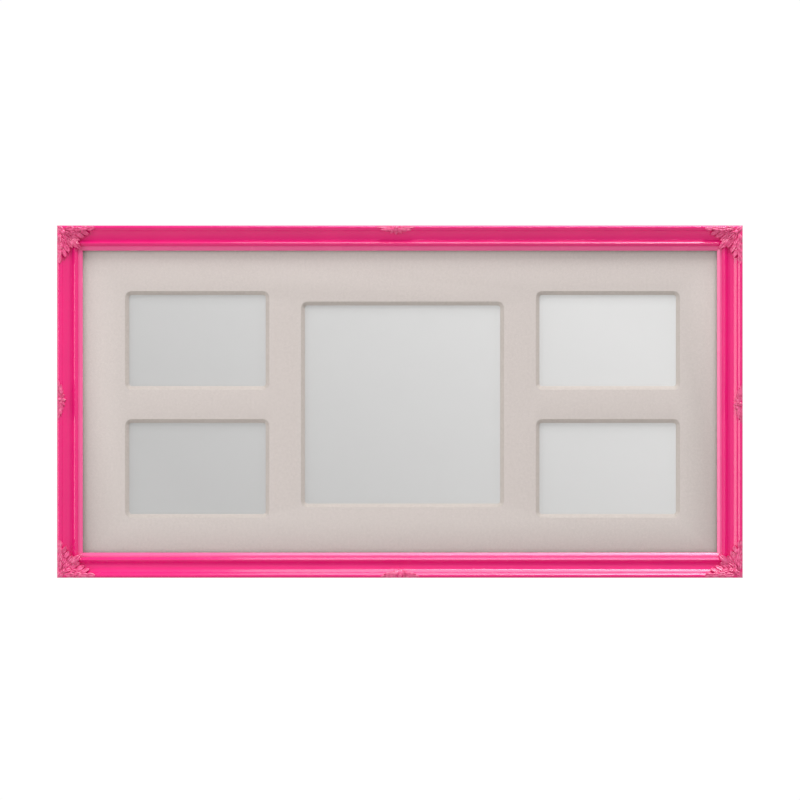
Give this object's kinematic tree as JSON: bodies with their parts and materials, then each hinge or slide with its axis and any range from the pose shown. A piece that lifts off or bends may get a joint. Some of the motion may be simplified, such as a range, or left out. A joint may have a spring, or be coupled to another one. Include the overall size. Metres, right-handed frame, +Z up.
{
  "type": "collage photo frame",
  "caption": "Landscape collage photo frame with an ornate mitred moulding, leaf ornaments, a mount with bevelled windows, glazing, and a back board held by turn buttons",
  "frame": {"origin": "centre of the back plane, the plane of the rails' backs that faces the wall", "axes": "+X to the right as seen from the front, along the long side; +Y from the front to the wall; +Z up"},
  "size_m": [0.72, 0.0276, 0.37],
  "materials": {
    "painted_wood": "gloss",
    "painted_casting": "gloss",
    "clear_glass": "clear",
    "mount_board": "matte",
    "grey_card": "matte",
    "hardboard": "matte",
    "zinc_steel": "satin"
  },
  "bodies": {
    "frame": {"rail_top": "painted_wood", "rail_bottom": "painted_wood", "rail_left": "painted_wood", "rail_right": "painted_wood", "corner_ornament_top_left": "painted_casting", "corner_ornament_top_right": "painted_casting", "corner_ornament_bottom_left": "painted_casting", "corner_ornament_bottom_right": "painted_casting", "centre_ornament_top": "painted_casting", "centre_ornament_bottom": "painted_casting", "centre_ornament_left": "painted_casting", "centre_ornament_right": "painted_casting", "mitre_wedges": "zinc_steel", "turn_button_screws": "zinc_steel", "hanger_strap_left": "zinc_steel", "hanger_strap_right": "zinc_steel", "hanger_screws": "zinc_steel"},
    "glazing": {"glass_pane": "clear_glass"},
    "picture_mount": {"mount_board": "mount_board", "filler_card_upper_left": "grey_card", "filler_card_lower_left": "grey_card", "filler_card_centre": "grey_card", "filler_card_upper_right": "grey_card", "filler_card_lower_right": "grey_card"},
    "back_panel": {"back_board": "hardboard"},
    "button_top_left": {"turn_button_top_left": "zinc_steel"},
    "button_top_right": {"turn_button_top_right": "zinc_steel"},
    "button_bottom_left": {"turn_button_bottom_left": "zinc_steel"},
    "button_bottom_right": {"turn_button_bottom_right": "zinc_steel"},
    "button_left": {"turn_button_left": "zinc_steel"},
    "button_right": {"turn_button_right": "zinc_steel"},
    "ring_left": {"hanger_ring_left": "zinc_steel"},
    "ring_right": {"hanger_ring_right": "zinc_steel"}
  },
  "joints": [
    {"name": "glass_lift_off", "type": "slide", "parent": "frame", "child": "glazing", "axis": [0, 1, 0], "range_m": [0, 0.03]},
    {"name": "mount_lift_off", "type": "slide", "parent": "glazing", "child": "picture_mount", "axis": [0, 1, 0], "range_m": [0, 0.03]},
    {"name": "back_board_lift_off", "type": "slide", "parent": "picture_mount", "child": "back_panel", "axis": [0, 1, 0], "range_m": [0, 0.03]},
    {"name": "turn_button_top_left_swivel", "type": "hinge", "parent": "frame", "child": "button_top_left", "pos_m": [-0.18, 0.0008, 0.1755], "axis": [0, -1, 0], "continuous": true},
    {"name": "turn_button_top_right_swivel", "type": "hinge", "parent": "frame", "child": "button_top_right", "pos_m": [0.18, 0.0008, 0.1755], "axis": [0, -1, 0], "continuous": true},
    {"name": "turn_button_bottom_left_swivel", "type": "hinge", "parent": "frame", "child": "button_bottom_left", "pos_m": [-0.18, 0.0008, -0.1755], "axis": [0, -1, 0], "continuous": true},
    {"name": "turn_button_bottom_right_swivel", "type": "hinge", "parent": "frame", "child": "button_bottom_right", "pos_m": [0.18, 0.0008, -0.1755], "axis": [0, -1, 0], "continuous": true},
    {"name": "turn_button_left_swivel", "type": "hinge", "parent": "frame", "child": "button_left", "pos_m": [-0.3505, 0.0008, 0], "axis": [0, -1, 0], "continuous": true},
    {"name": "turn_button_right_swivel", "type": "hinge", "parent": "frame", "child": "button_right", "pos_m": [0.3505, 0.0008, 0], "axis": [0, -1, 0], "continuous": true},
    {"name": "hanger_ring_left_swing", "type": "hinge", "parent": "frame", "child": "ring_left", "pos_m": [-0.3505, 0.00188, 0.11], "axis": [1, 0, 0], "range_deg": [0, 175]},
    {"name": "hanger_ring_right_swing", "type": "hinge", "parent": "frame", "child": "ring_right", "pos_m": [0.3505, 0.00188, 0.11], "axis": [1, 0, 0], "range_deg": [0, 175]}
  ]
}
